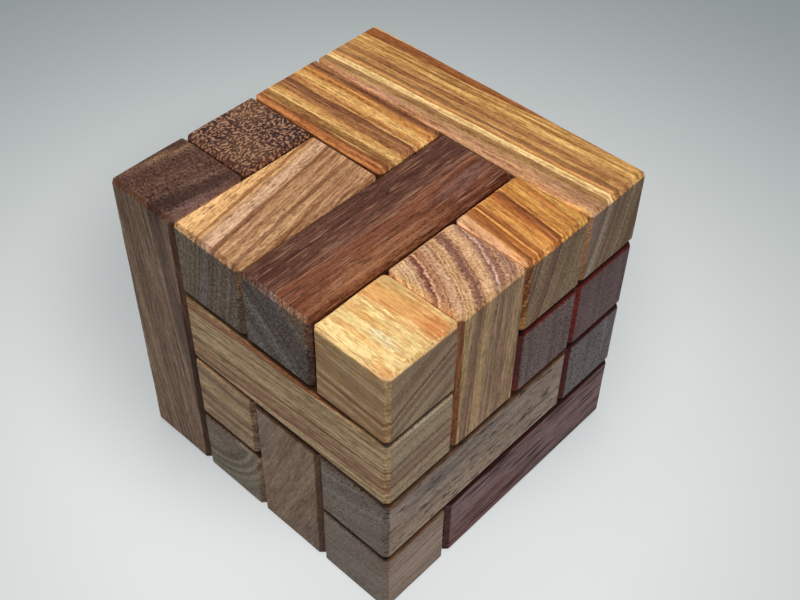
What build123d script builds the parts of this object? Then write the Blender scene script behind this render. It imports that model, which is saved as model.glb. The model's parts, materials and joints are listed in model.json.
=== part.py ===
from build123d import *
import os

# Wooden puzzle box: a cube of chamfered square sticks, glued into five pieces that slide apart
# and leave a chamber hidden in the middle. Millimetres, +Z up, origin at the middle of the
# bottom face. The cube is counted in cells one stick wide, from its left front bottom corner:
# to the right along X, to the back along Y and upwards along Z. The sticks of one piece meet
# face to face. A face that slides on another piece is planed back from the grid of cells.

# Driving sizes
stick_width = 19.0  # side of the square stock, and of one cell
edge_chamfer = 1.0  # flat planed along every edge of every stick
fit_clearance = 0.2  # depth that a sliding face is planed back
cells_across = 4  # cells along one edge of the cube

# Left front bottom corner of the first cell
half_cube = cells_across * stick_width / 2
grid_start = {"X": -half_cube, "Y": -half_cube, "Z": 0.0}

os.makedirs("parts", exist_ok=True)


def stick_span(axis, first, last, slack):
    """Give the lowest and highest coordinate along one axis of a stick that fills some cells."""
    low = grid_start[axis] + first * stick_width
    high = grid_start[axis] + (last + 1) * stick_width
    if "-" + axis in slack:
        low += fit_clearance
    if "+" + axis in slack:
        high -= fit_clearance
    return low, high


def make_stick(name, first_cell, last_cell, slack=()):
    """Build and write one stick that fills the cells from first_cell to last_cell.

    slack names the faces that slide on another piece, such as "+Z" for the top.
    """
    left, right = stick_span("X", first_cell[0], last_cell[0], slack)
    front, back = stick_span("Y", first_cell[1], last_cell[1], slack)
    bottom, top = stick_span("Z", first_cell[2], last_cell[2], slack)
    with BuildPart() as stick:
        with BuildSketch(Plane(origin=((left + right) / 2, (front + back) / 2, bottom))):
            Rectangle(right - left, back - front)
        extrude(amount=top - bottom)
        chamfer(stick.edges(), length=edge_chamfer)
    stick.part.label = name
    export_step(stick.part, f"parts/{name}.step")


# Frame piece, dark red: the back wall, one side post and the rails that everything stands in
make_stick("right_base_rail", (3, 1, 0), (3, 3, 0), slack=["-Y"])
make_stick("back_base_rail", (0, 3, 0), (2, 3, 0))
make_stick("back_wall_lower_bar", (0, 3, 1), (3, 3, 1))
make_stick("back_wall_upper_bar", (0, 3, 2), (3, 3, 2), slack=["+Z"])
make_stick("right_wall_block", (3, 2, 2), (3, 2, 2), slack=["-Y", "+Z"])
make_stick("left_wall_post", (0, 2, 0), (0, 2, 2), slack=["-Y", "+Z"])

# Drawer piece, brown: the chamber's floor, drawn out to the front with its side bar
make_stick("drawer_side_bar", (3, 0, 1), (3, 2, 1), slack=["+Y", "-Z", "+Z"])
make_stick("drawer_corner_block", (3, 0, 0), (3, 0, 0), slack=["+Y"])
make_stick("drawer_front_post", (2, 0, 0), (2, 0, 1), slack=["+Z"])
make_stick("drawer_floor_left_bar", (1, 0, 0), (1, 2, 0), slack=["-X", "+Y"])
make_stick("drawer_floor_right_bar", (2, 1, 0), (2, 2, 0), slack=["+X", "+Y"])

# Key piece, nearly black: one straight stick that lifts out of the left wall
make_stick("key_stick", (0, 1, 0), (0, 1, 3), slack=["+X", "-Y"])

# Roof piece, golden: the ring round the top, with the upper part of the front wall
make_stick("back_roof_bar", (0, 3, 3), (3, 3, 3))
make_stick("left_roof_bar", (0, 2, 3), (1, 2, 3), slack=["+X", "-Y"])
make_stick("right_roof_block", (3, 2, 3), (3, 2, 3), slack=["-X"])
make_stick("right_wall_post", (3, 1, 2), (3, 1, 3), slack=["-X"])
make_stick("front_corner_block", (3, 0, 3), (3, 0, 3), slack=["-X"])
make_stick("front_wall_bar", (1, 0, 2), (3, 0, 2), slack=["-X"])
make_stick("front_wall_block", (1, 0, 1), (1, 0, 1), slack=["-X", "+X", "-Z"])

# Lid piece, walnut: two bars over the chamber, hung on a post at the left corner
make_stick("left_corner_post", (0, 0, 0), (0, 0, 3))
make_stick("short_lid_bar", (1, 0, 3), (1, 1, 3), slack=["+Y", "-Z"])
make_stick("long_lid_bar", (2, 0, 3), (2, 2, 3), slack=["+X", "+Y", "-Z"])
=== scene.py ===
# Wooden puzzle box: a cube of chamfered hardwood sticks, seen closed on a pale table.
# Lengths in the mesh and wood sections are millimetres, and everything else is in metres.

import json
import math

import bmesh
import bpy
from mathutils import Euler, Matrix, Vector, noise

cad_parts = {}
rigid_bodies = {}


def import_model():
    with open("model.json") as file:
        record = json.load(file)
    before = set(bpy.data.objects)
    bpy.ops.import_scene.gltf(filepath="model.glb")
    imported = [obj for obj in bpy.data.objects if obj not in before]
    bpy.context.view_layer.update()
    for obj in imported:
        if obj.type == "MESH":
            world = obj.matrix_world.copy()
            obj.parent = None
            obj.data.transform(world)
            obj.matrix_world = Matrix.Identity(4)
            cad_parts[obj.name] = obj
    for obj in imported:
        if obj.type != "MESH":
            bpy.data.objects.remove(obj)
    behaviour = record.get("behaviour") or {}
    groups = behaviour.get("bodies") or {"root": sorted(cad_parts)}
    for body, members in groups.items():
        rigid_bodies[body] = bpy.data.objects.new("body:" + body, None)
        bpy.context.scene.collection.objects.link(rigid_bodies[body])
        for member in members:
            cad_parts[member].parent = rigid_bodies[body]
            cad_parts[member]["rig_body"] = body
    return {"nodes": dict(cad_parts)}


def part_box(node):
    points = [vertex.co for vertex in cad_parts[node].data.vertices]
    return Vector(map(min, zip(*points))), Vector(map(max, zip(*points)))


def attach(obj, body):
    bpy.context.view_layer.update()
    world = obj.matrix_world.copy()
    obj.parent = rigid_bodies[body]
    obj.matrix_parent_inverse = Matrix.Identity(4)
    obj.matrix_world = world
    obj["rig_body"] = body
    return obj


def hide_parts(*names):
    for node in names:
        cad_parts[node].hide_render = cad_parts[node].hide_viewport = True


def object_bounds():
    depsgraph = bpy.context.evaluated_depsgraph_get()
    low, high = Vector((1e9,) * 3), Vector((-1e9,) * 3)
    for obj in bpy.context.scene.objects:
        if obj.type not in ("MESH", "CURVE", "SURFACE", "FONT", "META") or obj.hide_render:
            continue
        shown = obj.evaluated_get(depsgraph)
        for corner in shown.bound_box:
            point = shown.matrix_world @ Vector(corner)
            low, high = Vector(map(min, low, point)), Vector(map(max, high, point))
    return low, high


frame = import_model()
cad_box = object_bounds()

# Units
MILLIMETRE = 0.001
MILLIMETRES_PER_METRE = 1000

# Sizes of the sticks
CHAMFER = 1.0  # flat planed along every edge
SANDED_ROUND = 0.16  # rounding that sandpaper leaves beside a chamfer
SEAM_GAP = 0.06  # how far an inner face stands back from its neighbour
OUTER_TOLERANCE = 0.05  # distance from the cube's side within which a face is an outer one
SLICE = 1.9  # spacing of the cuts that let an edge wander
CUT_TOLERANCE = 0.0001  # how near to a cut a corner counts as lying on it

# How a hand-planed chamfer strays from its line
CHAMFER_WANDER = 0.14  # reach of a stray
WANDER_LENGTH = 9.0  # length of one stray along the edge
FINE_WANDER = 0.4  # share that a second, finer stray adds
FINE_RATE = 5  # how many fine strays lie in the length of one
STICK_STEP = (3.7, 1.9)  # shift in the noise from one stick to the next
FACE_STEP = (5, 9, 13)  # shift in the noise for a face across each axis

# How a normal tells what its face is
FLAT = 0.99  # share along one axis, above which the face is no chamfer
FULL_LEAN = 0.25  # lean from the nearest axis, from which the face is all chamfer
FACING_UP = 0.3  # upward share, above which a chamfer faces up
SHARP_ANGLE = math.radians(20)  # bend between two faces, above which sanding rounds the edge

# Wood space has its third axis along the grain. These turns take that axis to the stick's own.
GRAIN_TURN = {
    "X": (0.0, math.radians(90), 0.0),
    "Y": (math.radians(-90), 0.0, 0.0),
    "Z": (0.0, 0.0, 0.0),
}
GRAIN_AXIS = {"X": Vector((1, 0, 0)), "Y": Vector((0, 1, 0)), "Z": Vector((0, 0, 1))}

# The cube's corners in millimetres
cube_low = Vector(cad_box[0]) * MILLIMETRES_PER_METRE
cube_high = Vector(cad_box[1]) * MILLIMETRES_PER_METRE


def make_piece(name, shape):
    """Turn a finished bmesh into an object of the scene."""
    mesh = bpy.data.meshes.new(name)
    shape.to_mesh(mesh)
    shape.free()
    piece = bpy.data.objects.new(name, mesh)
    bpy.context.scene.collection.objects.link(piece)
    return piece


# Stick meshes

def stick_limits(node):
    """Give a stick's corners in millimetres, with its inner faces stood back from the seams."""
    low, high = (Vector(corner) * MILLIMETRES_PER_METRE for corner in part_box(node))
    for axis in range(3):
        if low[axis] > cube_low[axis] + OUTER_TOLERANCE:
            low[axis] += SEAM_GAP
        if high[axis] < cube_high[axis] - OUTER_TOLERANCE:
            high[axis] -= SEAM_GAP
    return low, high


def bevel_edges(stick, edges, width, segments):
    """Cut edges back by a width: flat with one segment, rounded with more."""
    bmesh.ops.bevel(
        stick, geom=edges, offset=width, offset_type="OFFSET", affect="EDGES",
        segments=segments, profile=0.5, material=-1,
    )


def slice_stick(stick, low, high):
    """Cut the stick across at even steps along all three axes, so that its edges can bend."""
    for axis in range(3):
        length = high[axis] - low[axis] - 2 * CHAMFER
        steps = round(length / SLICE)
        normal = Vector((0, 0, 0))
        normal[axis] = 1
        for step in range(1, steps):
            point = Vector(low)
            point[axis] += CHAMFER + length * step / steps
            everything = stick.verts[:] + stick.edges[:] + stick.faces[:]
            bmesh.ops.bisect_plane(
                stick, geom=everything, dist=CUT_TOLERANCE, plane_co=point, plane_no=normal,
            )


def is_flat(face):
    """Tell a full face of the stick from a chamfer."""
    return max(abs(part) for part in face.normal) > FLAT


def wander_chamfers(stick, seed):
    """Let the line between each face and its chamfers stray within the face."""
    stick.normal_update()
    moves = []
    for corner in stick.verts:
        flats = [face for face in corner.link_faces if is_flat(face)]
        slopes = [face for face in corner.link_faces if not is_flat(face)]
        if not flats or not slopes:
            continue
        flat = flats[0].normal
        outward = Vector((0, 0, 0))
        for slope in slopes:
            outward += slope.normal - slope.normal.dot(flat) * flat
        shift = Vector((seed * STICK_STEP[0], seed * STICK_STEP[1], flat.dot(FACE_STEP)))
        place = corner.co / WANDER_LENGTH + shift
        stray = CHAMFER_WANDER * (noise.noise(place) + FINE_WANDER * noise.noise(place * FINE_RATE))
        moves.append((corner, outward.normalized() * stray))
    for corner, move in moves:
        corner.co += move


def round_edges(stick):
    """Round the lines beside the chamfers, as sanding does."""
    stick.normal_update()
    sharp = [edge for edge in stick.edges if edge.calc_face_angle(0) > SHARP_ANGLE]
    bevel_edges(stick, sharp, SANDED_ROUND, segments=2)


def mark_faces(stick, grain):
    """Note on every face how much it cuts across the grain, and whether it is a chamfer."""
    stick.normal_update()
    end_layer = stick.faces.layers.float.new("end_grain")
    chamfer_layer = stick.faces.layers.float.new("chamfer")
    for face in stick.faces:
        face[end_layer] = face.normal.dot(GRAIN_AXIS[grain]) ** 2
        lean = 1 - max(abs(part) for part in face.normal)
        face[chamfer_layer] = min(lean / FULL_LEAN, 1.0)


def seam_depth(place):
    """Give how far in from the nearest side of the cube a place lies, in widths of a chamfer."""
    from_low = min(place.x - cube_low.x, place.y - cube_low.y)
    from_high = min(cube_high.x - place.x, cube_high.y - place.y)
    return min(from_low, from_high) / CHAMFER


def mark_seam_shade(stick):
    """Note a line of painted shade, one chamfer's width in, on the chamfers that face up below the top of
    the cube, in the shade of the stick above.
    """
    seam_shade_layer = stick.loops.layers.float.new("seam")
    for face in stick.faces:
        covered = face.calc_center_median().z < cube_high.z - 2 * CHAMFER
        if covered and FACING_UP < face.normal.z < FLAT:
            for loop in face.loops:
                loop[seam_shade_layer] = max(0.0, 1 - abs(1 - seam_depth(loop.vert.co)))


def shape_stick(node, grain, seed):
    """Model one stick in the place of its node."""
    low, high = stick_limits(node)
    stick = bmesh.new()
    bmesh.ops.create_cube(stick, size=1.0)
    bmesh.ops.scale(stick, vec=high - low, verts=stick.verts)
    bmesh.ops.translate(stick, vec=(low + high) / 2, verts=stick.verts)
    bevel_edges(stick, stick.edges[:], CHAMFER, segments=1)
    slice_stick(stick, low, high)
    wander_chamfers(stick, seed)
    round_edges(stick)
    mark_faces(stick, grain)
    mark_seam_shade(stick)
    bmesh.ops.scale(stick, vec=(MILLIMETRE, MILLIMETRE, MILLIMETRE), verts=stick.verts)
    return make_piece(node + "_wood", stick)


# Shader maths

BACKGROUND_RAYS = ("Is Camera Ray", "Is Glossy Ray", "Is Transmission Ray")
MIDDLE = 0.5  # of noise and masks, which run from 0 to 1

# Places of the Mix node's sockets for colours
MIX_FACTOR = 0
MIX_FIRST = 6
MIX_SECOND = 7
MIX_RESULT = 2


class Value:
    """A socket in a material, so that sums on it read as sums."""

    def __init__(self, finish, socket):
        self.finish = finish
        self.socket = socket

    def maths(self, operation, first, second=0.0):
        """Add a Math node."""
        return self.finish.node("ShaderNodeMath", {"operation": operation}, {0: first, 1: second})

    def __add__(self, other):
        return self.maths("ADD", self, other)

    def __radd__(self, other):
        return self.maths("ADD", other, self)

    def __sub__(self, other):
        return self.maths("SUBTRACT", self, other)

    def __rsub__(self, other):
        return self.maths("SUBTRACT", other, self)

    def __mul__(self, other):
        return self.maths("MULTIPLY", self, other)

    def __rmul__(self, other):
        return self.maths("MULTIPLY", other, self)

    def __abs__(self):
        return self.maths("ABSOLUTE", self)

    def rise(self, start, end):
        """Climb smoothly from 0 at start to 1 at end."""
        sockets = {"Value": self, "From Min": start, "From Max": end}
        return self.finish.node("ShaderNodeMapRange", {"interpolation_type": "SMOOTHSTEP"}, sockets)


class Finish:
    """The nodes that feed the shader of one material, or of the room."""

    def __init__(self, owner, shader):
        owner.use_nodes = True
        self.owner = owner
        self.tree = owner.node_tree
        self.shader = self.tree.nodes[shader]

    def feed(self, socket, value):
        """Link a value to a socket, or write a plain number or colour on it."""
        if isinstance(value, Value):
            self.tree.links.new(value.socket, socket)
        else:
            socket.default_value = value

    def node(self, kind, settings=None, sockets=None, output=0):
        """Add a node, set it up, feed its sockets and give one of its outputs."""
        made = self.tree.nodes.new(kind)
        for setting, choice in (settings or {}).items():
            if setting == "stops":
                set_stops(made.color_ramp, choice)
            else:
                setattr(made, setting, choice)
        for socket, value in (sockets or {}).items():
            self.feed(made.inputs[socket], value)
        return Value(self, made.outputs[output])

    def vector(self, operation, *parts, output=0):
        """Do maths on places, or on colours."""
        return self.node("ShaderNodeVectorMath", {"operation": operation}, dict(enumerate(parts)), output)

    def mix(self, factor, first, second, blend="MIX"):
        """Blend a second colour into a first."""
        settings = {"data_type": "RGBA", "blend_type": blend}
        sockets = {MIX_FACTOR: factor, MIX_FIRST: first, MIX_SECOND: second}
        return self.node("ShaderNodeMix", settings, sockets, output=MIX_RESULT)

    def mapping(self, place, location, rotation, size):
        """Measure places from a point, along turned axes, in lengths of a size along each."""
        sockets = {"Vector": place, "Location": location, "Rotation": rotation, "Scale": size}
        return self.node("ShaderNodeMapping", {"vector_type": "TEXTURE"}, sockets)

    def noise(self, place, size, detail=2.0, rough=0.5, turn=0.0, output=0):
        """Cloudy noise in space, with lumps of a size along each axis, turned about the grain."""
        spread = self.mapping(place, (0.0, 0.0, 0.0), (0.0, 0.0, math.radians(turn)), size)
        sockets = {"Vector": spread, "Scale": 1.0, "Detail": detail, "Roughness": rough}
        return self.node("ShaderNodeTexNoise", {"noise_dimensions": "3D"}, sockets, output)

    def drift(self, place, size, reach):
        """A sideways shift across the grain that changes from place to place."""
        cloudy = self.noise(place, size, output="Color")
        centred = self.vector("SUBTRACT", cloudy, (MIDDLE, MIDDLE, MIDDLE))
        return self.vector("MULTIPLY", centred, (reach, reach, 0.0))

    def line_noise(self, distance, detail=2.0, rough=0.5):
        """Noise along one number, for rings that are each the same all round."""
        sockets = {"W": distance, "Scale": 1.0, "Detail": detail, "Roughness": rough}
        return self.node("ShaderNodeTexNoise", {"noise_dimensions": "1D"}, sockets)

    def ramp(self, value, stops):
        """Turn a value into a colour."""
        return self.node("ShaderNodeValToRGB", {"stops": stops}, {"Fac": value})

    def attribute(self, name):
        """Read a number that was noted on the mesh."""
        return self.node("ShaderNodeAttribute", {"attribute_name": name}, output="Fac")

    def surface(self):
        """Give the shader itself, so that it can be mixed with another."""
        return Value(self, self.shader.outputs["BSDF"])

    def seen_ray(self):
        """Give 1 for rays that show a background, straight or in a reflection, and 0 for light."""
        rays = [self.node("ShaderNodeLightPath", output=kind) for kind in BACKGROUND_RAYS]
        return rays[0] + rays[1] + rays[2]


def set_stops(ramp, stops):
    """Give a colour ramp its stops, each a place from 0 to 1 and a colour."""
    for index, (place, colour) in enumerate(stops):
        element = ramp.elements[index] if index < len(ramp.elements) else ramp.elements.new(place)
        element.position = place
        element.color = colour


def tone(red, green, blue):
    """Turn a colour as a screen shows it, 0 to 255, into a shader's linear one by the sRGB curve."""
    linear = []
    for part in (red, green, blue):
        share = part / 255
        linear.append(share / 12.92 if share <= 0.04045 else ((share + 0.055) / 1.055) ** 2.4)
    return (*linear, 1.0)


# Wood

# Ranges of noise that masks spread over 0 to 1
SOFT = (0.3, 0.7)
FIRM = (0.32, 0.68)

# Shifts in the noise from one stick to the next, so that no two sticks are alike
CLOUD_STEP = (37.1, 17.3, 91.7)
BAND_STEP = 7.7
LINE_STEP = 3.3

# Sizes of one lump of noise: across, across and along the grain
SWAY_SIZE = (24.0, 24.0, 90.0)  # slow bends of the rings
FRAY_SIZE = (1.6, 1.6, 7.0)  # ragged edges of the rings
SHADE_SIZE = (9.0, 9.0, 45.0)  # broad light and dark
BREAK_SIZE = (2.5, 2.5, 20.0)  # breaks in a streak
CURL_SIZE = (4.0, 4.0, 60.0)  # bends of a worm line

RING_PLACES = (0.28, 0.50, 0.72)  # of the three ring colours, from 0 to 1
BAND_FRAY = 0.15  # how much the fibres fray the bands of rings

# A streak's edges fray, and fade from its half width to an outer one. Both grow with the half width.
STREAK_FRAY = 0.2
STREAK_FRAY_GROWTH = 0.4
STREAK_OUTER = 0.25
STREAK_OUTER_GROWTH = 1.5

# A streak is broken by noise, and a faint one more so
BREAK_SHARE = 0.8
BREAK_START = 0.2
BREAK_RANGE = (0.0, 0.7)

PATCH_FRAY = 0.5  # how much the fibres fray a patch
PATCH_EDGE = (0.35, 1.0)  # share of a patch's size over which it fades

END_SPREAD = 0.3  # range of cut over which a long side turns into an end
END_CHAMFER = (0.1, 0.45)  # range of cut over which a chamfer takes its end tint
SEAM_SHADE_COLOUR = tone(34, 22, 16)  # painted shade: dark line in a seam that another stick covers from above
SEAM_SHADE_EDGE = (0.25, 0.6)  # range over which that painted shade darkens

GRAIN_WARMTH = (0.85, 1.0, 1.15)  # dark fibres lose more blue than red
DARKEST = (0.1, 0.1, 0.1)  # least share of its colour that the grain leaves a place
DASH_EDGE = 0.07  # range of noise over which a pore's edge darkens
CURL_REACH = 3.0  # reach of a worm line's bends
WORM_EDGE = (0.48, 0.65)  # range of noise over which a worm line turns pale

BUMP_STRENGTH = 0.5
BUMP_DEPTH = 0.00008  # metres
RELIEF_SHINE = 0.12  # how much smoother raised fibres are than open pores


class Wood(Finish):
    """The wood of one stick as a solid: rings round a pith line, fibres and pores along it."""

    def __init__(self, name, grain, centre, seed, look):
        super().__init__(bpy.data.materials.new(name), "Principled BSDF")
        self.centre = centre
        self.seed = seed
        self.look = look
        self.spot = self.node("ShaderNodeTexCoord", output="Object")
        turn = Vector(GRAIN_TURN[grain]) + Vector([math.radians(angle) for angle in look["slope"]])
        self.place = self.mapping(self.spot, centre, turn, MILLIMETRE * Vector((1, 1, 1)))
        self.cloud = self.vector("ADD", self.place, [seed * step for step in CLOUD_STEP])
        self.depth = self.ring_depth()
        self.fibre = self.noise(self.cloud, look["fibre_size"], rough=0.6).rise(*FIRM)
        self.fleck = self.noise(self.cloud, look["fleck_size"], detail=1.0).rise(*FIRM)
        self.cut = self.attribute("end_grain")
        self.end = self.cut.rise(look["end_from"], look["end_from"] + END_SPREAD)

    def ring_depth(self):
        """Give the distance across the rings in millimetres, 0 at the middle of the stick."""
        sway = self.drift(self.cloud, SWAY_SIZE, self.look["sway"])
        fray = self.drift(self.cloud, FRAY_SIZE, self.look["fray"])
        swayed = self.vector("ADD", self.vector("ADD", self.place, sway), fray)
        flat = self.vector("MULTIPLY", swayed, (1.0, 1.0, 0.0))
        across = Vector((*self.look["across"], 0.0)).normalized()
        curve = self.look["curve"]
        return self.vector("DISTANCE", flat, -curve * across, output="Value") - curve

    def band_rings(self):
        """Give the bands of early and late wood."""
        along = self.depth * (1 / self.look["band"]) + self.seed * BAND_STEP
        band = self.line_noise(along, detail=5.0, rough=0.75)
        band = MIDDLE + (band - MIDDLE) * self.look["contrast"] + (self.fibre - MIDDLE) * BAND_FRAY
        return self.ramp(band, self.look["stops"])

    def streak(self, colour):
        """Add the streaks that this stick alone has, each at its own depth across the rings."""
        broken = self.noise(self.cloud, BREAK_SIZE).rise(*SOFT)
        for at, half, streak_colour, amount in self.look["streaks"]:
            ragged = (self.fibre - MIDDLE) * (STREAK_FRAY + STREAK_FRAY_GROWTH * half)
            reach = abs(self.depth - at) + ragged
            mask = 1 - reach.rise(half, STREAK_OUTER_GROWTH * half + STREAK_OUTER)
            mask = mask * (broken * BREAK_SHARE + amount - BREAK_START).rise(*BREAK_RANGE)
            colour = self.mix(mask * amount, colour, tone(*streak_colour))
        return colour

    def patch(self, colour):
        """Add the patches that this stick alone has, each at its own offset from the stick's middle; some
        of them are painted highlights and painted shade at edges.
        """
        for offset, size, patch_colour, amount in self.look["patches"]:
            middle = self.centre + MILLIMETRE * Vector(offset)
            near = self.mapping(self.spot, middle, (0, 0, 0), MILLIMETRE * Vector(size))
            away = self.vector("LENGTH", near, output="Value") + (self.fibre - MIDDLE) * PATCH_FRAY
            mask = 1 - away.rise(*PATCH_EDGE)
            colour = self.mix(mask * amount, colour, tone(*patch_colour))
        return colour

    def tint_cuts(self, colour):
        """Take figure from ends and long sides, tint the ends, tint the chamfers with their own colour
        plus painted highlight and painted shade, and paint shade into covered seams.
        """
        look = self.look
        plain = self.end * look["end_flat"] + (1 - self.end) * look["side_flat"]
        colour = self.mix(plain, colour, look["stops"][1][1])
        colour = self.mix(self.end, colour, look["end_tint"], "MULTIPLY")
        # The chamfer tints are partly the chamfers' own colour, partly painted highlight on lit edges and
        # partly painted shade on edges in grooves.
        end_chamfer_tint_and_light = look.get("end_chamfer_tint_and_light", look["chamfer_tint_and_light"])
        chamfer_tint_and_light = self.mix(self.cut.rise(*END_CHAMFER), look["chamfer_tint_and_light"], end_chamfer_tint_and_light)
        colour = self.mix(self.attribute("chamfer"), colour, chamfer_tint_and_light, "MULTIPLY")
        # Painted shade: the inner half of each up-facing chamfer under another stick turns dark.
        seam = self.attribute("seam").rise(*SEAM_SHADE_EDGE)
        return self.mix(seam * look["seam_shade_strength"], colour, SEAM_SHADE_COLOUR)

    def add_grain(self, colour):
        """Lighten and darken the wood finely, with a strength of its own on the ends."""
        look = self.look
        along = self.depth * (1 / look["line_width"]) + self.seed * LINE_STEP
        line = self.line_noise(along, rough=0.6).rise(*SOFT)
        grit = self.noise(self.cloud, look["grit_size"], detail=1.0).rise(*SOFT)
        shade = self.noise(self.cloud, SHADE_SIZE).rise(*SOFT)
        grainy = (line - MIDDLE) * look["line"] + (self.fibre - MIDDLE) * look["fibre"]
        grainy = grainy + (self.fleck - MIDDLE) * look["fleck"] + (grit - MIDDLE) * look["grit"]
        grainy = grainy * (1 + self.end * look["end_grainy"]) + (shade - MIDDLE) * look["shade"]
        tint = self.vector("MULTIPLY_ADD", grainy, GRAIN_WARMTH, look["wash"])
        return self.vector("MULTIPLY", colour, self.vector("MAXIMUM", tint, DARKEST))

    def add_pores(self, colour):
        """Add pores and resin, as dashes along the grain and dots across it, and give the relief."""
        relief = self.fibre * 0.5 + self.fleck * 0.5
        for size, turn, start, dash_colour, amount in self.look["dashes"]:
            speckle = self.noise(self.cloud, size, detail=1.0, turn=turn)
            dash = speckle.rise(start, start + DASH_EDGE) * amount
            dash = dash * (1 - self.end * self.look["end_clear"])
            colour = self.mix(dash, colour, tone(*dash_colour))
            relief = relief - dash
        return colour, relief

    def add_worm_lines(self, colour):
        """Add the pale loops of soft tissue that show on a coarse end."""
        curl = self.vector("ADD", self.cloud, self.drift(self.cloud, CURL_SIZE, CURL_REACH))
        worm = self.noise(curl, self.look["worm_size"], detail=0.0).rise(*WORM_EDGE)
        return self.mix(worm * self.look["worm_amount"], colour, tone(*self.look["worm_colour"]))

    def build(self):
        """Lay the figure down in order, feed the shader and give the material."""
        colour = self.band_rings()
        colour = self.streak(colour)
        colour = self.patch(colour)
        colour = self.tint_cuts(colour)
        colour = self.add_grain(colour)
        colour, relief = self.add_pores(colour)
        if self.look["worm_amount"]:
            colour = self.add_worm_lines(colour)
        bump_sockets = {"Strength": BUMP_STRENGTH, "Distance": BUMP_DEPTH, "Height": relief}
        self.feed(self.shader.inputs["Base Color"], colour)
        self.feed(self.shader.inputs["Roughness"], self.look["rough"] - relief * RELIEF_SHINE)
        self.feed(self.shader.inputs["Specular IOR Level"], self.look["gloss"])
        self.feed(self.shader.inputs["Normal"], self.node("ShaderNodeBump", {}, bump_sockets))
        return self.owner


def ring_stops(dark, middle, light):
    """Give the ramp of ring colours, from the late wood to the early wood."""
    colours = [tone(*dark), tone(*middle), tone(*light)]
    return list(zip(RING_PLACES, colours))


# What every wood has unless it says otherwise. Sizes are of one lump across, across and along.
PLAIN_LOOK = {
    "slope": (0.0, 0.0, 0.0),  # degrees that the grain leans from the stick
    "across": (0.0, 1.0),  # way across the rings, outwards from the pith
    "curve": 140.0,  # distance of the pith from the stick's middle
    "band": 3.0,  # width of a band of rings
    "contrast": 1.0,  # of the bands
    "sway": 2.0,  # reach of the rings' slow bends
    "fray": 0.5,  # reach of their ragged edges
    "line_width": 0.9,  # of a fine line along the rings
    "line": 0.3,  # how strongly lines show, and below it fibres, flecks, grit and shade
    "fibre_size": (0.6, 0.6, 14.0),
    "fibre": 0.35,
    "fleck_size": (0.5, 0.5, 2.5),
    "fleck": 0.3,
    "grit_size": (0.32, 0.32, 0.8),
    "grit": 0.38,
    "shade": 0.25,
    "streaks": [],  # each: depth across the rings, half width, colour, amount
    "patches": [],  # each: offset from the stick's middle, size, colour, amount; some are painted highlights and painted shade
    "end_flat": 0.0,  # figure that the ends lose
    "side_flat": 0.0,  # figure that the long sides lose
    "end_tint": (1.0, 1.0, 1.0, 1.0),
    "end_grainy": 0.2,  # how much stronger the fine grain is on an end
    "end_from": 0.6,  # cut across the grain, from which a face counts as an end
    "end_clear": 0.0,  # pores that the ends lose
    "chamfer_tint_and_light": (1.15, 1.1, 1.08, 1.0),  # the chamfers' own colour with painted highlight on lit edges and painted shade in grooves; at an end, a look may have an end_chamfer_tint_and_light instead
    "seam_shade_strength": 0.85,  # strength of the painted shade line in a covered seam
    "dashes": [],  # each: size, turn about the grain, noise from which it shows, colour, amount
    "worm_amount": 0.0,
    "wash": (1.0, 1.0, 1.0),  # tint of the whole stick
    "rough": 0.55,
    "gloss": 0.12,
}

GOLDEN = {
    **PLAIN_LOOK,
    "stops": ring_stops((150, 100, 54), (200, 150, 84), (232, 190, 118)),
    "line": 0.45,
    "dashes": [((0.4, 0.4, 4.0), 0.0, 0.62, (110, 66, 34), 0.4)],
    "end_tint": (0.85, 0.95, 1.2, 1.0),
}
RED = {
    **PLAIN_LOOK,
    "stops": ring_stops((128, 88, 86), (152, 112, 108), (170, 132, 126)),
    "dashes": [((0.55, 0.55, 8.0), 0.0, 0.58, (74, 32, 32), 0.75)],
    "chamfer_tint_and_light": (1.0, 0.21, 0.16, 1.0),
    "fibre": 0.25,
    "fleck": 0.25,
    "line": 0.15,
}
BROWN = {
    **PLAIN_LOOK,
    "stops": ring_stops((176, 144, 122), (198, 169, 148), (214, 188, 166)),
    "dashes": [((0.45, 0.45, 3.0), 0.0, 0.59, (84, 62, 48), 0.7)],
    "end_tint": (0.54, 0.6, 0.62, 1.0),
    "chamfer_tint_and_light": (0.62, 0.5, 0.4, 1.0),
    "line": 0.2,
}
KEY = {
    **PLAIN_LOOK,
    "stops": ring_stops((54, 31, 27), (66, 40, 34), (82, 53, 42)),
    "worm_amount": 0.85,
    "worm_size": (0.46, 0.72, 16.0),
    "worm_colour": (178, 134, 104),
    "end_grainy": 0.0,
    "chamfer_tint_and_light": (1.6, 1.5, 1.5, 1.0),
}
WALNUT = {
    **PLAIN_LOOK,
    "stops": ring_stops((84, 50, 38), (112, 73, 56), (138, 98, 78)),
    "dashes": [((0.4, 0.4, 6.0), 0.0, 0.60, (58, 34, 28), 0.5)],
    "chamfer_tint_and_light": (0.9, 0.85, 0.85, 1.0),
}
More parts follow.
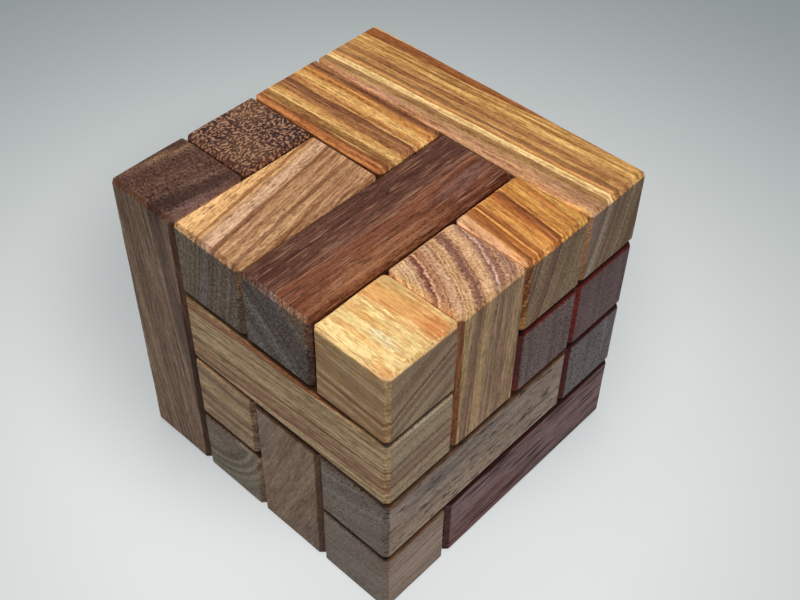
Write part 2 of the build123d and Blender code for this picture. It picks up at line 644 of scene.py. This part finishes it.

# Each stick: its node, the way its grain runs and its own figure, with painted highlights and painted
# shade at some edges
STICKS = [
    ("right_base_rail", "Y", {
        **RED,
        "across": (1.0, 0.2),
        "line": 0.08,
        "fibre": 0.2,
        "fleck": 0.2,
        "grit": 0.22,
        "dashes": [
            ((1.0, 0.85, 15.0), 0.0, 0.57, (66, 32, 32), 0.95),
            ((0.6, 0.6, 6.0), 0.0, 0.60, (76, 40, 40), 0.7),
        ],
        "patches": [((9.5, -16.0, -6.0), (12.0, 22.0, 9.0), (158, 92, 86), 0.6)],
        "wash": (1.0, 1.01, 1.04),
        "chamfer_tint_and_light": (0.3, 0.08, 0.07, 1.0),
        "end_chamfer_tint_and_light": (0.45, 0.3, 0.31, 1.0),
    }),
    ("back_base_rail", "X", {**RED, "chamfer_tint_and_light": (0.5, 0.15, 0.13, 1.0)}),
    ("back_wall_lower_bar", "X", {
        **RED,
        "end_tint": (0.76, 1.12, 1.2, 1.0),
        "end_grainy": -0.5,
        "dashes": [((0.35, 1.5, 9.0), -60.0, 0.57, (66, 50, 50), 0.7)],
        "chamfer_tint_and_light": (0.5, 0.15, 0.13, 1.0),
    }),
    ("back_wall_upper_bar", "X", {
        **RED,
        "end_tint": (0.72, 0.74, 0.78, 1.0),
        "end_grainy": -0.5,
        "line": 0.0,
        "dashes": [((0.4, 1.4, 9.0), -45.0, 0.58, (84, 44, 44), 0.6)],
    }),
    ("right_wall_block", "X", {
        **RED,
        "end_tint": (0.84, 0.98, 0.98, 1.0),
        "end_grainy": -0.5,
        "line": 0.0,
        "dashes": [((0.4, 1.4, 9.0), -45.0, 0.57, (78, 40, 40), 0.8)],
        # painted shade on the upright chamfer beside the next stick
        "patches": [((9.5, -9.5, 0.0), (1.8, 1.8, 14.0), (115, 122, 116), 0.9)],
    }),
    ("left_wall_post", "Z", {**RED, "chamfer_tint_and_light": (0.5, 0.15, 0.13, 1.0)}),
    ("drawer_side_bar", "Y", {
        **BROWN,
        "across": (0.3, 1.0),
        "fibre": 0.18,
        "fleck": 0.22,
        "end_grainy": 0.6,
        "end_clear": 0.6,
        "end_tint": (0.5, 0.54, 0.56, 1.0),
        "chamfer_tint_and_light": (0.66, 0.48, 0.32, 1.0),
        "end_chamfer_tint_and_light": (0.54, 0.55, 0.6, 1.0),
        "seam_shade_strength": 0.5,
        "dashes": [
            ((0.8, 0.8, 4.2), 0.0, 0.60, (80, 62, 54), 0.85),
            ((0.5, 0.5, 2.2), 0.0, 0.62, (104, 80, 64), 0.65),
        ],
        "patches": [
            ((9.5, -6.0, 6.0), (10.0, 32.0, 6.0), (166, 144, 134), 0.65),
            ((9.5, -14.0, 4.0), (10.0, 12.0, 3.0), (140, 120, 112), 0.6),
            ((9.5, -8.0, -5.5), (10.0, 30.0, 5.0), (222, 190, 158), 0.5),
            ((9.5, 18.0, -1.6), (6.0, 8.0, 0.6), (104, 80, 64), 0.8),
        ],
        "wash": (0.98, 0.96, 0.97),
    }),
    ("drawer_corner_block", "Y", {
        **BROWN,
        "stops": ring_stops((190, 156, 134), (212, 180, 158), (226, 198, 176)),
        "across": (0.1, 1.0),
        "band": 2.0,
        "fibre": 0.22,
        "fleck": 0.16,
        "grit": 0.26,
        "end_grainy": -0.1,
        "end_clear": 0.8,
        "chamfer_tint_and_light": (0.95, 0.72, 0.46, 1.0),
        "end_chamfer_tint_and_light": (0.65, 0.66, 0.7, 1.0),
        "dashes": [((0.4, 0.4, 9.0), 0.0, 0.60, (140, 110, 92), 0.55)],
        "wash": (0.82, 0.79, 0.79),
    }),
    ("drawer_front_post", "Z", {
        **BROWN,
        "stops": ring_stops((150, 116, 92), (172, 138, 112), (188, 156, 128)),
        "slope": (0.0, 24.0, 0.0),
        "across": (1.0, 0.2),
        "band": 4.0,
        "line": 0.05,
        "fibre_size": (0.8, 0.8, 7.0),
        "fibre": 0.16,
        "fleck_size": (0.6, 0.6, 3.0),
        "fleck": 0.18,
        "shade": 0.4,
        "chamfer_tint_and_light": (0.5, 0.4, 0.36, 1.0),
        "dashes": [((0.55, 0.55, 3.5), 0.0, 0.60, (110, 80, 62), 0.4)],
        "patches": [
            ((-7.5, -9.5, 11.0), (5.0, 8.0, 14.0), (146, 122, 110), 0.6),
            ((7.5, -9.5, -14.0), (5.0, 8.0, 8.0), (140, 118, 108), 0.6),
        ],
    }),
    ("drawer_floor_left_bar", "Y", {
        **BROWN,
        "across": (0.56, 0.83),
        "curve": 14.75,
        "end_tint": (0.52, 0.55, 0.53, 1.0),
        "end_grainy": -0.2,
        "end_clear": 0.8,
        "end_chamfer_tint_and_light": (0.7, 0.6, 0.55, 1.0),
        "line": 0.1,
        "contrast": 0.7,
        "streaks": [
            (-1.0, 0.7, (150, 124, 104), 0.7),
            (0.5, 0.25, (240, 220, 190), 0.75),
            (1.6, 0.4, (152, 126, 106), 0.6),
            (2.7, 0.3, (234, 212, 182), 0.7),
            (3.7, 0.3, (156, 130, 110), 0.6),
            (4.8, 0.4, (232, 210, 180), 0.65),
            (6.5, 0.3, (224, 202, 172), 0.45),
        ],
        "patches": [((4.5, -28.5, 9.3), (5.0, 3.0, 1.6), (255, 226, 206), 0.9)],
    }),
    ("drawer_floor_right_bar", "Y", BROWN),
    ("key_stick", "Z", {
        **KEY,
        "patches": [
            ((-6.0, 5.0, 38.0), (7.0, 5.0, 60.0), (112, 78, 52), 0.5),
            ((4.0, -4.0, 38.0), (7.0, 5.0, 60.0), (112, 78, 52), 0.5),
            ((7.0, 7.0, 38.0), (8.0, 6.0, 60.0), (44, 26, 24), 0.6),
        ],
    }),
    ("back_roof_bar", "X", {
        **GOLDEN,
        "slope": (0.0, 0.0, 2.9),
        "chamfer_tint_and_light": (1.3, 1.3, 1.4, 1.0),
        "end_flat": 0.3,
        "end_tint": (0.77, 0.89, 1.6, 1.0),
        "end_grainy": -0.2,
        "across": (0.27, 0.96),
        "streaks": [
            (9.6, 2.0, (212, 172, 126), 0.75),
            (6.0, 1.0, (140, 72, 32), 0.85),
            (3.9, 0.15, (150, 100, 56), 0.6),
            (2.5, 0.2, (150, 100, 52), 0.7),
            (-0.5, 0.6, (168, 118, 74), 0.65),
            (-1.6, 0.3, (146, 90, 54), 0.75),
            (-2.8, 0.8, (190, 136, 86), 0.5),
            (-4.0, 0.4, (112, 66, 40), 0.85),
            (-5.2, 0.6, (198, 132, 76), 0.65),
            (-6.6, 0.5, (250, 212, 148), 0.9),
            (-7.7, 0.22, (132, 84, 48), 0.8),
            (-8.8, 1.0, (160, 120, 80), 0.7),
            (-11.0, 1.3, (200, 150, 120), 0.6),
        ],
    }),
    ("left_roof_bar", "X", {
        **GOLDEN,
        "slope": (0.0, 0.0, 1.6),
        "wash": (0.90, 0.835, 0.89),
        "chamfer_tint_and_light": (1.35, 1.35, 1.5, 1.0),
        "streaks": [
            (8.0, 1.2, (150, 100, 64), 0.75),
            (7.9, 0.2, (112, 64, 34), 0.75),
            (6.0, 0.7, (212, 144, 66), 0.65),
            (3.7, 0.5, (240, 194, 114), 0.85),
            (2.3, 0.25, (186, 116, 58), 0.6),
            (0.5, 0.4, (104, 55, 30), 0.9),
            (-0.8, 1.1, (150, 100, 64), 0.7),
            (-2.6, 0.3, (206, 150, 80), 0.5),
            (-4.2, 0.35, (236, 194, 116), 0.85),
            (-6.0, 0.5, (146, 108, 54), 0.7),
            (-7.4, 0.35, (118, 64, 30), 0.85),
            (-8.6, 0.8, (190, 120, 66), 0.7),
        ],
    }),
    ("right_roof_block", "X", {
        **GOLDEN,
        "stops": ring_stops((160, 98, 42), (208, 140, 70), (234, 174, 98)),
        "slope": (0.0, 0.0, -6.5),
        "chamfer_tint_and_light": (1.3, 1.35, 1.5, 1.0),
        "wash": (1.08, 1.1, 1.15),
        "end_flat": 0.2,
        "end_tint": (0.73, 1.0, 2.15, 1.0),
        "end_grainy": 0.0,
        "across": (0.29, 0.956),
        "streaks": [
            (5.4, 0.5, (196, 150, 70), 0.6),
            (4.4, 0.2, (166, 102, 52), 0.7),
            (2.9, 0.25, (170, 112, 52), 0.6),
            (1.5, 0.6, (186, 128, 58), 0.6),
            (-1.2, 0.35, (132, 74, 38), 0.9),
            (-2.3, 0.5, (160, 88, 44), 0.85),
            (-4.3, 0.2, (168, 104, 50), 0.6),
            (-6.6, 0.4, (140, 78, 36), 0.9),
            (-8.1, 0.3, (146, 80, 38), 0.75),
            (-9.5, 0.35, (138, 78, 40), 0.9),
            (-11.5, 0.9, (215, 166, 122), 0.8),
        ],
    }),
    ("right_wall_post", "Z", {
        **GOLDEN,
        "stops": ring_stops((192, 142, 100), (212, 166, 122), (228, 188, 144)),
        "slope": (-3.5, 0.0, 0.0),
        "contrast": 0.6,
        "across": (0.38, 0.92),
        "curve": 38.0,
        "sway": 3.5,
        "fray": 1.1,
        "line": 0.6,
        "line_width": 0.65,
        "side_flat": 0.25,
        "chamfer_tint_and_light": (0.65, 0.42, 0.36, 1.0),
        "end_chamfer_tint_and_light": (1.0, 0.98, 0.98, 1.0),
        "end_tint": (0.76, 0.71, 0.79, 1.0),
        "wash": (1.06, 1.05, 1.05),
        "streaks": [
            (8.5, 0.8, (158, 118, 98), 0.65),
            (6.3, 0.3, (142, 98, 80), 0.8),
            (5.4, 0.35, (226, 190, 162), 0.6),
            (4.7, 0.4, (160, 122, 98), 0.65),
            (3.2, 0.9, (240, 196, 140), 0.75),
            (0.7, 0.45, (138, 96, 76), 0.95),
            (-1.7, 0.6, (228, 186, 124), 0.65),
            (-3.4, 0.6, (232, 194, 146), 0.6),
            (-5.4, 0.3, (182, 124, 82), 0.6),
            (-7.4, 0.3, (142, 82, 64), 0.95),
            (-8.5, 0.4, (190, 150, 114), 0.6),
            (-10.3, 1.2, (238, 202, 146), 0.7),
        ],
    }),
    ("front_corner_block", "X", {
        **GOLDEN,
        "stops": ring_stops((187, 144, 103), (217, 179, 132), (237, 204, 157)),
        "slope": (0.0, 4.0, 0.0),
        "contrast": 0.7,
        "across": (-0.905, -0.425),
        "end_tint": (0.78, 0.79, 0.91, 1.0),
        "wash": (1.07, 1.05, 1.05),
        "end_grainy": -0.5,
        "end_clear": 0.8,
        "chamfer_tint_and_light": (1.35, 1.3, 1.25, 1.0),
        "line": 0.15,
        "fibre": 0.25,
        "fleck_size": (0.5, 0.5, 3.0),
        "fleck": 0.2,
        "grit": 0.24,
        "dashes": [
            ((0.5, 0.5, 7.0), 0.0, 0.55, (228, 168, 102), 0.65),
            ((0.4, 0.4, 3.0), 0.0, 0.57, (200, 128, 62), 0.5),
        ],
        "streaks": [
            (6.0, 0.9, (168, 126, 92), 0.6),
            (3.6, 0.4, (222, 186, 136), 0.5),
            (1.75, 0.25, (148, 92, 60), 0.85),
            (-0.2, 0.5, (172, 126, 92), 0.6),
            (-2.9, 0.5, (172, 128, 94), 0.6),
            (-4.4, 0.4, (236, 204, 156), 0.7),
            (-7.2, 0.6, (172, 130, 96), 0.6),
        ],
        "patches": [
            # The first patch is partly the wood's tone and partly painted highlight, and makes the top
            # paler than the sides.
            ((0.0, 0.0, 10.0), (26.0, 26.0, 2.4), (255, 228, 158), 0.95),
            ((1.0, 5.0, 10.0), (24.0, 4.6, 2.4), (226, 156, 84), 0.75),
            ((-6.5, 2.6, 10.0), (7.0, 1.1, 2.4), (218, 140, 72), 0.6),
            ((7.0, 5.0, 10.0), (5.0, 3.2, 2.4), (198, 108, 62), 0.6),
            ((7.5, -8.5, 10.0), (5.0, 1.8, 2.4), (226, 150, 84), 0.6),
            ((-5.0, -1.5, 10.0), (9.0, 1.3, 2.4), (236, 172, 90), 0.6),
            ((-1.0, -5.5, 10.0), (8.0, 1.0, 2.4), (236, 172, 90), 0.55),
            # painted highlight
            ((2.5, -3.2, 10.0), (7.0, 1.4, 2.4), (255, 246, 200), 0.7),
            ((-6.5, 7.8, 9.5), (8.0, 2.4, 3.0), (180, 148, 94), 0.65),
        ],
    }),
    ("front_wall_bar", "X", {
        **GOLDEN,
        "stops": ring_stops((197, 157, 113), (223, 183, 136), (241, 205, 155)),
        "slope": (0.0, -3.5, 0.0),
        "across": (-0.998, -0.07),
        "line": 0.3,
        "end_tint": (0.89, 0.95, 1.13, 1.0),
        "end_grainy": -0.5,
        "end_clear": 0.7,
        "chamfer_tint_and_light": (1.25, 1.22, 1.22, 1.0),
        "streaks": [
            (9.0, 0.6, (184, 112, 70), 0.8),
            (4.4, 0.14, (176, 132, 88), 0.6),
            (0.1, 0.18, (148, 108, 68), 0.9),
            (-3.5, 1.4, (200, 148, 112), 0.6),
            (-2.3, 0.25, (176, 120, 86), 0.7),
            (-4.9, 0.35, (162, 106, 72), 0.8),
            (-7.6, 0.2, (172, 126, 88), 0.6),
        ],
        # painted highlight along the top chamfer at the end
        "patches": [((28.0, 0.0, 9.2), (2.5, 14.0, 1.4), (255, 238, 204), 1.0)],
    }),
    ("front_wall_block", "X", {
        **GOLDEN,
        "stops": ring_stops((170, 132, 98), (200, 162, 124), (222, 186, 146)),
        "across": (-1.0, 0.0),
        "contrast": 1.3,
        "fibre": 0.45,
        "sway": 3.5,
        "chamfer_tint_and_light": (1.3, 1.2, 1.15, 1.0),
        "end_chamfer_tint_and_light": (0.7, 0.66, 0.7, 1.0),
        "streaks": [
            (6.2, 0.5, (146, 106, 76), 0.7),
            (2.4, 1.2, (224, 188, 138), 0.7),
            (-1.0, 0.45, (138, 98, 66), 0.8),
            (-2.6, 0.5, (212, 174, 130), 0.6),
            (-4.2, 0.5, (150, 110, 78), 0.65),
            (-6.6, 0.6, (222, 188, 156), 0.5),
        ],
    }),
    ("left_corner_post", "Z", {
        **WALNUT,
        "stops": ring_stops((127, 94, 72), (158, 120, 94), (182, 145, 117)),
        "slope": (0.0, -6.0, 0.0),
        "across": (0.98, -0.22),
        "line": 0.2,
        "end_tint": (0.305, 0.25, 0.27, 1.0),
        "end_grainy": 0.9,
        "end_clear": 1.0,
        "chamfer_tint_and_light": (0.42, 0.34, 0.32, 1.0),
        "dashes": [((0.5, 0.5, 9.0), 0.0, 0.58, (92, 64, 50), 0.45)],
        "streaks": [
            (-2.6, 0.5, (186, 150, 112), 0.7),
            (0.6, 1.0, (132, 98, 76), 0.5),
            (7.6, 0.4, (184, 150, 122), 0.65),
            (9.8, 1.4, (100, 72, 58), 0.6),
        ],
        "patches": [
            ((-5.8, 6.0, 38.0), (0.9, 4.5, 5.0), (230, 194, 146), 0.95),
            ((-7.1, 1.0, 38.0), (1.1, 4.5, 5.0), (230, 194, 146), 0.95),
            ((4.4, 4.5, 38.0), (0.8, 4.5, 5.0), (206, 172, 142), 0.8),
            ((3.6, 0.0, 38.0), (0.8, 4.5, 5.0), (206, 172, 142), 0.8),
            ((4.5, -6.0, 38.0), (4.0, 8.0, 5.0), (92, 64, 56), 0.6),
            # painted sheen along the right top edge
            ((9.5, -2.0, 38.0), (2.6, 14.0, 5.0), (190, 162, 158), 0.7),
            ((-8.0, -9.5, -20.0), (4.0, 8.0, 20.0), (186, 152, 112), 0.4),
        ],
    }),
    ("short_lid_bar", "Y", {
        **WALNUT,
        "stops": ring_stops((160, 114, 78), (192, 146, 106), (216, 172, 128)),
        "slope": (0.0, 0.0, 9.5),
        "across": (1.0, 0.15),
        "end_flat": 0.65,
        "end_tint": (0.47, 0.60, 0.87, 1.0),
        "end_grainy": 0.7,
        "end_from": 0.38,
        "chamfer_tint_and_light": (1.0, 0.94, 0.9, 1.0),
        "dashes": [
            ((0.4, 0.4, 3.0), 0.0, 0.60, (124, 82, 54), 0.6),
            ((0.45, 0.45, 1.6), 0.0, 0.62, (116, 78, 58), 0.5),
        ],
        "streaks": [
            (-10.5, 3.6, (236, 184, 122), 0.85),
            (-6.6, 0.2, (160, 106, 62), 0.85),
            (-3.6, 1.1, (226, 184, 152), 0.7),
            (-1.8, 0.25, (134, 90, 58), 0.8),
            (0.2, 0.9, (176, 128, 90), 0.5),
            (2.2, 0.3, (216, 170, 124), 0.6),
            (3.6, 0.25, (138, 94, 62), 0.75),
            (5.3, 0.3, (220, 176, 128), 0.6),
            (6.6, 0.25, (146, 100, 66), 0.75),
            (8.5, 0.5, (202, 158, 122), 0.6),
        ],
        "patches": [
            ((4.5, 13.0, 9.5), (9.0, 11.0, 8.0), (160, 112, 78), 0.5),
            # painted shade on the front right upright chamfer, in the groove beside the next stick
            ((9.5, -19.0, -3.0), (1.7, 1.7, 12.0), (112, 100, 92), 0.95),
        ],
    }),
    ("long_lid_bar", "Y", {
        **WALNUT,
        "across": (0.7, -0.7),
        "end_tint": (1.41, 2.6, 3.6, 1.0),
        "end_grainy": 0.4,
        "end_from": 0.38,
        "end_clear": 0.7,
        "dashes": [
            ((0.4, 0.4, 6.0), 0.0, 0.60, (58, 34, 28), 0.6),
            ((0.4, 0.4, 7.0), 0.0, 0.60, (168, 124, 98), 0.75),
        ],
        "fibre": 0.45,
        "streaks": [
            (2.8, 2.8, (94, 58, 46), 0.6),
            (10.0, 2.6, (140, 80, 48), 0.55),
        ],
        "patches": [
            ((4.0, 19.0, 9.5), (2.4, 12.0, 8.0), (140, 108, 102), 0.5),
            # painted shade on the front right upright chamfer, in the groove beside the next stick
            ((9.5, -28.5, -3.0), (1.7, 1.7, 12.0), (88, 70, 58), 0.95),
            ((8.0, -8.0, 9.5), (5.5, 24.0, 2.4), (182, 126, 86), 0.65),
        ],
        "end_chamfer_tint_and_light": (1.4, 1.35, 1.35, 1.0),
        "wash": (0.82, 0.77, 0.76),
    }),
]

for number, (node, grain, look) in enumerate(STICKS):
    seed = number + 1
    low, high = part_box(node)
    piece = shape_stick(node, grain, seed)
    wood = Wood(node + "_wood", grain, (low + high) / 2, seed, look)
    piece.data.materials.append(wood.build())
    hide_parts(node)
    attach(piece, frame["nodes"][node]["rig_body"])


# Table top: it has one colour for the light that falls on it and another for how it is seen

TABLE_RADIUS = 4.0
TABLE_SIDES = 96
TABLE_ROUGHNESS = 0.6
LIT_MIDDLE = (0.06, -0.04, 0.0)  # where the lit colour is palest, a painted pool of light
LIT_RANGE = (-0.05, 0.36)  # distances between which it fades
LIT_NEAR = tone(218, 224, 224)
LIT_FAR = tone(136, 144, 144)
SEEN_MIDDLE = (0.0, -0.01, 0.0)  # where the seen colour is palest, a painted pool of light
SEEN_RANGE = (-0.02, 0.27)  # distances between which it fades
SEEN_NEAR = tone(252, 255, 255)
SEEN_FAR = tone(141, 149, 149)
SEEN_SHARE = 0.72  # how much of the view of the table is the seen colour
SHADE_MIDDLE = (-0.04, 0.03, 0.0)  # middle of the soft shadow painted behind the cube
SHADE_RANGE = (0.05, 0.095)  # distances between which that painted shadow ends
SHADE_COLOUR = tone(104, 110, 113)
SHADE_AMOUNT = 0.55


def fade(finish, middle, distances):
    """Climb from 0 to 1 with the distance from a middle, between two distances."""
    place = finish.node("ShaderNodeTexCoord", output="Object")
    return finish.vector("DISTANCE", place, middle, output="Value").rise(*distances)


def table_finish():
    """Make a pale finish with painted pools of light round the cube that dull away from it, and a painted
    shadow behind it.
    """
    finish = Finish(bpy.data.materials.new("table_top"), "Principled BSDF")
    lit = finish.mix(fade(finish, LIT_MIDDLE, LIT_RANGE), LIT_NEAR, LIT_FAR)
    seen = finish.mix(fade(finish, SEEN_MIDDLE, SEEN_RANGE), SEEN_NEAR, SEEN_FAR)
    # painted shadow behind the cube, mixed into the seen colour
    shade = SHADE_AMOUNT - SHADE_AMOUNT * fade(finish, SHADE_MIDDLE, SHADE_RANGE)
    seen = finish.mix(shade, seen, SHADE_COLOUR)
    finish.feed(finish.shader.inputs["Base Color"], lit)
    finish.feed(finish.shader.inputs["Roughness"], TABLE_ROUGHNESS)
    share = finish.seen_ray() * SEEN_SHARE
    glow = finish.node("ShaderNodeEmission", {}, {"Color": seen})
    surface = finish.node("ShaderNodeMixShader", {}, {0: share, 1: finish.surface(), 2: glow})
    finish.feed(finish.tree.nodes["Material Output"].inputs["Surface"], surface)
    return finish.owner


def lay_table():
    """Lay a wide round table top under the cube."""
    top = bmesh.new()
    bmesh.ops.create_circle(top, cap_ends=True, segments=TABLE_SIDES, radius=TABLE_RADIUS)
    table = make_piece("table_top", top)
    table.data.materials.append(table_finish())


lay_table()


# Light: one soft square lamp overhead, which faces straight down, and a dim even room

LAMP_PLACE = (-0.03, 0.02, 0.85)
LAMP_SIZE = 0.5
LAMP_POWER = 6.0  # watts
LAMP_COLOUR = (1.0, 0.97, 0.93)
ROOM_COLOUR = (0.85, 0.93, 1.0, 1.0)
ROOM_LIGHT = 0.118  # strength with which the room lights the cube and the table
ROOM_SEEN = 0.5  # strength that it gains where it is seen

light = bpy.data.lights.new("overhead_lamp", "AREA")
light.size = LAMP_SIZE
light.energy = LAMP_POWER
light.color = LAMP_COLOUR
lamp = bpy.data.objects.new("overhead_lamp", light)
lamp.location = LAMP_PLACE
bpy.context.scene.collection.objects.link(lamp)

world = bpy.data.worlds.new("room")
bpy.context.scene.world = world
room = Finish(world, "Background")
room.feed(room.shader.inputs["Color"], ROOM_COLOUR)
room.feed(room.shader.inputs["Strength"], ROOM_LIGHT + room.seen_ray() * ROOM_SEEN)


# Camera, found from the seams of the cube in the photograph

IMAGE_WIDTH = 800  # pixels
FOCAL_PIXELS = 1192.9
SENSOR = 36.0  # millimetres
CLIP_START = 0.01
CAMERA_PLACE = (0.12597, -0.13235, 0.22914)
CAMERA_TURN = (43.985, -0.786, 43.022)  # degrees

lens = bpy.data.cameras.new("camera")
lens.sensor_width = SENSOR
lens.lens = FOCAL_PIXELS / IMAGE_WIDTH * SENSOR
lens.clip_start = CLIP_START
camera = bpy.data.objects.new("camera", lens)
camera.location = CAMERA_PLACE
camera.rotation_euler = Euler([math.radians(angle) for angle in CAMERA_TURN])
bpy.context.scene.collection.objects.link(camera)
bpy.context.scene.camera = camera

bpy.context.scene.view_settings.view_transform = "Standard"
